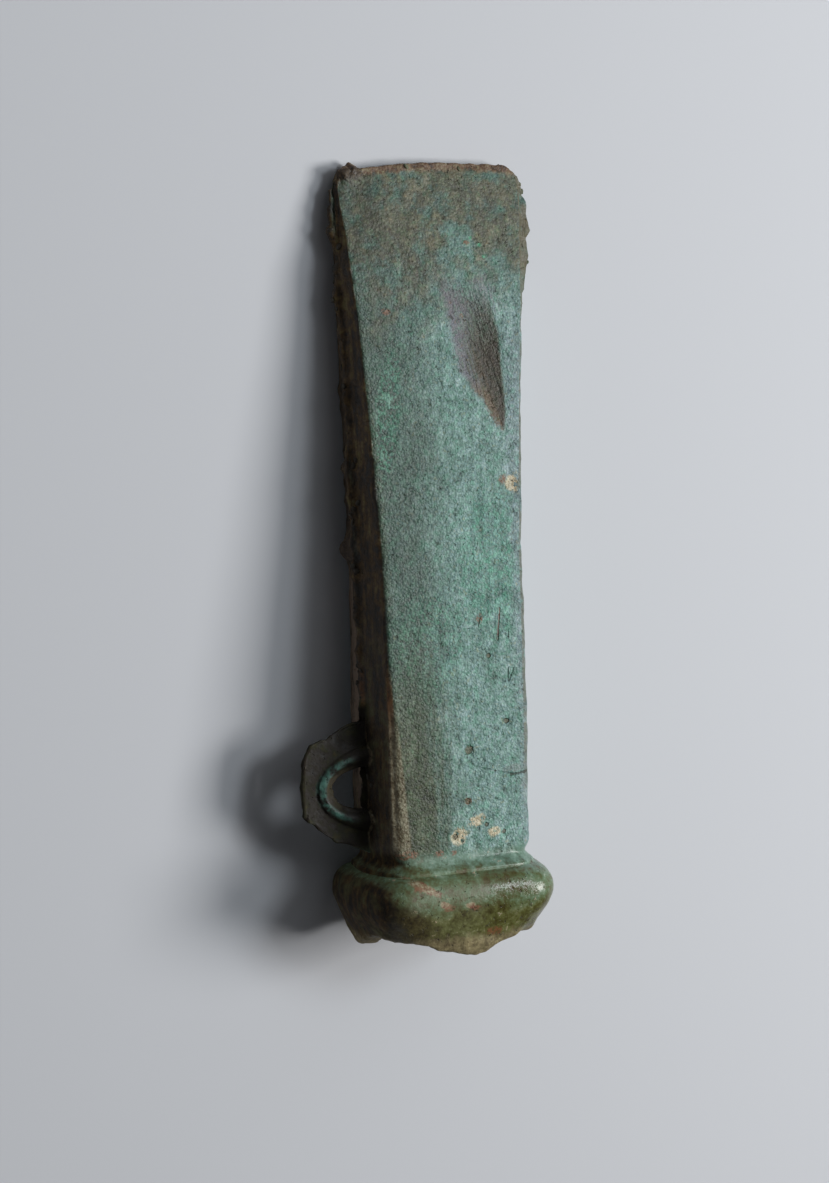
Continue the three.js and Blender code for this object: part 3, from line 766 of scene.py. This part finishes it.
def crumb_tree():
    """Scatters the crumbs over the places marked crumbly, each turned and sized at random."""
    tree = bpy.data.node_groups.new("grow_crumbs", "GeometryNodeTree")
    named = {}
    for name, kind in (
        ("Casting", "NodeSocketGeometry"),
        ("Smallest", "NodeSocketFloat"),
        ("Largest", "NodeSocketFloat"),
        ("Flatness", "NodeSocketFloat"),
        ("Thickness on the Ground", "NodeSocketFloat"),
        ("Seed", "NodeSocketInt"),
    ):
        named[name] = tree.interface.new_socket(name, in_out="INPUT", socket_type=kind).identifier
    tree.interface.new_socket("Crumbs", in_out="OUTPUT", socket_type="NodeSocketGeometry")

    def add(kind, settings=None, sockets=None, output=0):
        return add_node(tree, kind, settings, sockets, output)

    def beside(value, name):
        """Another output of the node that a value comes from."""
        return Value(tree, value.socket.node.outputs[name])

    casting = add("NodeGroupInput", output="Casting")
    marked = add("GeometryNodeInputNamedAttribute", {"data_type": "FLOAT"}, {"Name": "crumbly"}, "Attribute")
    sown = {
        "Mesh": casting,
        "Density": marked * beside(casting, "Thickness on the Ground"),
        "Seed": beside(casting, "Seed"),
    }
    points = add("GeometryNodeDistributePointsOnFaces", None, sown, "Points")

    ball = add("GeometryNodeMeshIcoSphere", None, {"Radius": 1.0, "Subdivisions": 2}, "Mesh")
    lumps = add("ShaderNodeTexNoise", None, {"Scale": 1.3, "Detail": 1.0}, "Color")
    uneven = add("ShaderNodeVectorMath", {"operation": "SUBTRACT"}, {0: lumps, 1: (0.5, 0.5, 0.5)}, "Vector")
    knobbly = add("GeometryNodeSetPosition", None, {"Geometry": ball, "Offset": uneven}, "Geometry")
    smooth = add("GeometryNodeSetShadeSmooth", None, {"Geometry": knobbly}, "Geometry")

    any_vector = {"data_type": "FLOAT_VECTOR"}
    spin = add("FunctionNodeRandomValue", any_vector, {"Seed": SPIN_SEED, "Max": (0, 0, FULL_TURN)}, "Value")
    twist = add("FunctionNodeEulerToRotation", None, {"Euler": spin}, "Rotation")
    leaning = {"Rotation": beside(points, "Rotation"), "Rotate By": twist}
    turned = add("FunctionNodeRotateRotation", {"rotation_space": "LOCAL"}, leaning, "Rotation")

    def crumb_size(size):
        """The three sizes of a crumb, the last one across the surface."""
        low = size * beside(casting, "Flatness")
        return add("ShaderNodeCombineXYZ", None, {"X": size, "Y": size, "Z": low}, "Vector")

    smallest, largest = crumb_size(beside(casting, "Smallest")), crumb_size(beside(casting, "Largest"))
    sizes = {"Seed": SIZE_SEED, "Min": smallest, "Max": largest}
    size = add("FunctionNodeRandomValue", any_vector, sizes, "Value")
    laid = {"Points": points, "Instance": smooth, "Rotation": turned, "Scale": size}
    placed = add("GeometryNodeInstanceOnPoints", None, laid, "Instances")
    real = add("GeometryNodeRealizeInstances", None, {"Geometry": placed}, "Geometry")
    painted = add("GeometryNodeSetMaterial", None, {"Geometry": real, "Material": grit.material}, "Geometry")
    feed(tree, tree.nodes.new("NodeGroupOutput").inputs["Crumbs"], painted)
    return tree, named


tree, named = crumb_tree()
grow = crumbs.modifiers.new("grow", "NODES")
grow.node_group = tree
grow[named["Smallest"]] = SMALLEST_CRUMB_MM * MM
grow[named["Largest"]] = LARGEST_CRUMB_MM * MM
grow[named["Flatness"]] = CRUMB_FLATNESS
grow[named["Thickness on the Ground"]] = CRUMBS_A_SQUARE_MM / MM**2
grow[named["Seed"]] = CRUMB_SEED
evaluated = crumbs.evaluated_get(bpy.context.evaluated_depsgraph_get())
grown = bpy.data.meshes.new_from_object(evaluated)
crumbs.modifiers.remove(grow)
crumbs.data = grown

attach(crumbs, "root")

# The floor, the lights and the camera
# A plain pale floor and soft studio lamps. The camera looks down on the axe
# head from the photograph's angle: along the casting's axes it stands to the
# loop's side of the front face and a little towards the cutting edge.

PHOTO_WIDTH, PHOTO_HEIGHT = 829, 1183
CAMERA_YAW = math.radians(25.52)
CAMERA_RISE = math.radians(6.77)
CAMERA_ROLL = math.radians(-1.35)
CAMERA_DISTANCE = 0.5611
TARGET_MM = Vector((0, 55, 0))
TARGET_PIXEL = (435.5, 581.5)
FOCAL_PIXELS = 3591.6
SENSOR_MM = 36.0

to_camera = axes @ Vector(
    (
        -math.sin(CAMERA_YAW) * math.cos(CAMERA_RISE),
        math.sin(CAMERA_RISE),
        math.cos(CAMERA_YAW) * math.cos(CAMERA_RISE),
    )
)
target = mouth + axes @ (TARGET_MM * MM)
level_right = along.cross(to_camera).normalized()
level_up = to_camera.cross(level_right)
right = level_right * math.cos(CAMERA_ROLL) + level_up * math.sin(CAMERA_ROLL)
up = level_up * math.cos(CAMERA_ROLL) - level_right * math.sin(CAMERA_ROLL)

camera_data = bpy.data.cameras.new("camera")
camera_data.sensor_width = SENSOR_MM
camera_data.lens = FOCAL_PIXELS * SENSOR_MM / PHOTO_HEIGHT
camera_data.shift_x = (PHOTO_WIDTH / 2 - TARGET_PIXEL[0]) / PHOTO_HEIGHT
camera_data.shift_y = (TARGET_PIXEL[1] - PHOTO_HEIGHT / 2) / PHOTO_HEIGHT
camera_data.clip_start = 0.01
camera_data.clip_end = 20.0
camera = bpy.data.objects.new("camera", camera_data)
bpy.context.scene.collection.objects.link(camera)
looking = Matrix((right, up, to_camera)).transposed().to_4x4()
camera.matrix_world = Matrix.Translation(target + to_camera * CAMERA_DISTANCE) @ looking
bpy.context.scene.camera = camera


def add_lamp(name, direction, distance, size, power, tint):
    """A square soft lamp that faces the axe head from that direction."""
    data = bpy.data.lights.new(name, "AREA")
    data.shape = "SQUARE"
    data.size = size
    data.energy = power
    data.color = tint
    lamp = bpy.data.objects.new(name, data)
    bpy.context.scene.collection.objects.link(lamp)
    lamp.location = target + direction.normalized() * distance
    lamp.rotation_mode = "QUATERNION"
    lamp.rotation_quaternion = direction.to_track_quat("Z", "Y")
    return lamp


add_lamp("key", right * 1.0 - up * 0.05 + to_camera * 0.3, 0.8, 0.3, 5.4, (1.0, 0.99, 0.97))
add_lamp("window", to_camera * 0.61 + right * 0.76 + up * 0.2, 0.8, 0.2, 1.5, (0.9, 0.96, 1.0))
add_lamp("fill", to_camera * 0.7 + up * 0.5 + right * 0.6, 1.0, 0.8, 1.1, (0.93, 0.97, 1.0))

FLOOR_HALF = 2.0
floor_mesh = bpy.data.meshes.new("floor")
corners = [(-FLOOR_HALF, -FLOOR_HALF, 0), (FLOOR_HALF, -FLOOR_HALF, 0)]
corners += [(FLOOR_HALF, FLOOR_HALF, 0), (-FLOOR_HALF, FLOOR_HALF, 0)]
floor_mesh.from_pydata(corners, [], [(0, 1, 2, 3)])
floor = bpy.data.objects.new("floor", floor_mesh)
bpy.context.scene.collection.objects.link(floor)
floor_paint = bpy.data.materials.new("floor_paint")
floor_paint.use_nodes = True
floor_shader = floor_paint.node_tree.nodes["Principled BSDF"]
floor_shader.inputs["Base Color"].default_value = srgb(205, 207, 212)
floor_shader.inputs["Roughness"].default_value = 0.8
floor_mesh.materials.append(floor_paint)

world = bpy.data.worlds.new("studio")
world.use_nodes = True
background = world.node_tree.nodes["Background"]
background.inputs["Color"].default_value = srgb(206, 208, 212)
background.inputs["Strength"].default_value = 0.1
bpy.context.scene.world = world
bpy.context.scene.view_settings.view_transform = "Standard"
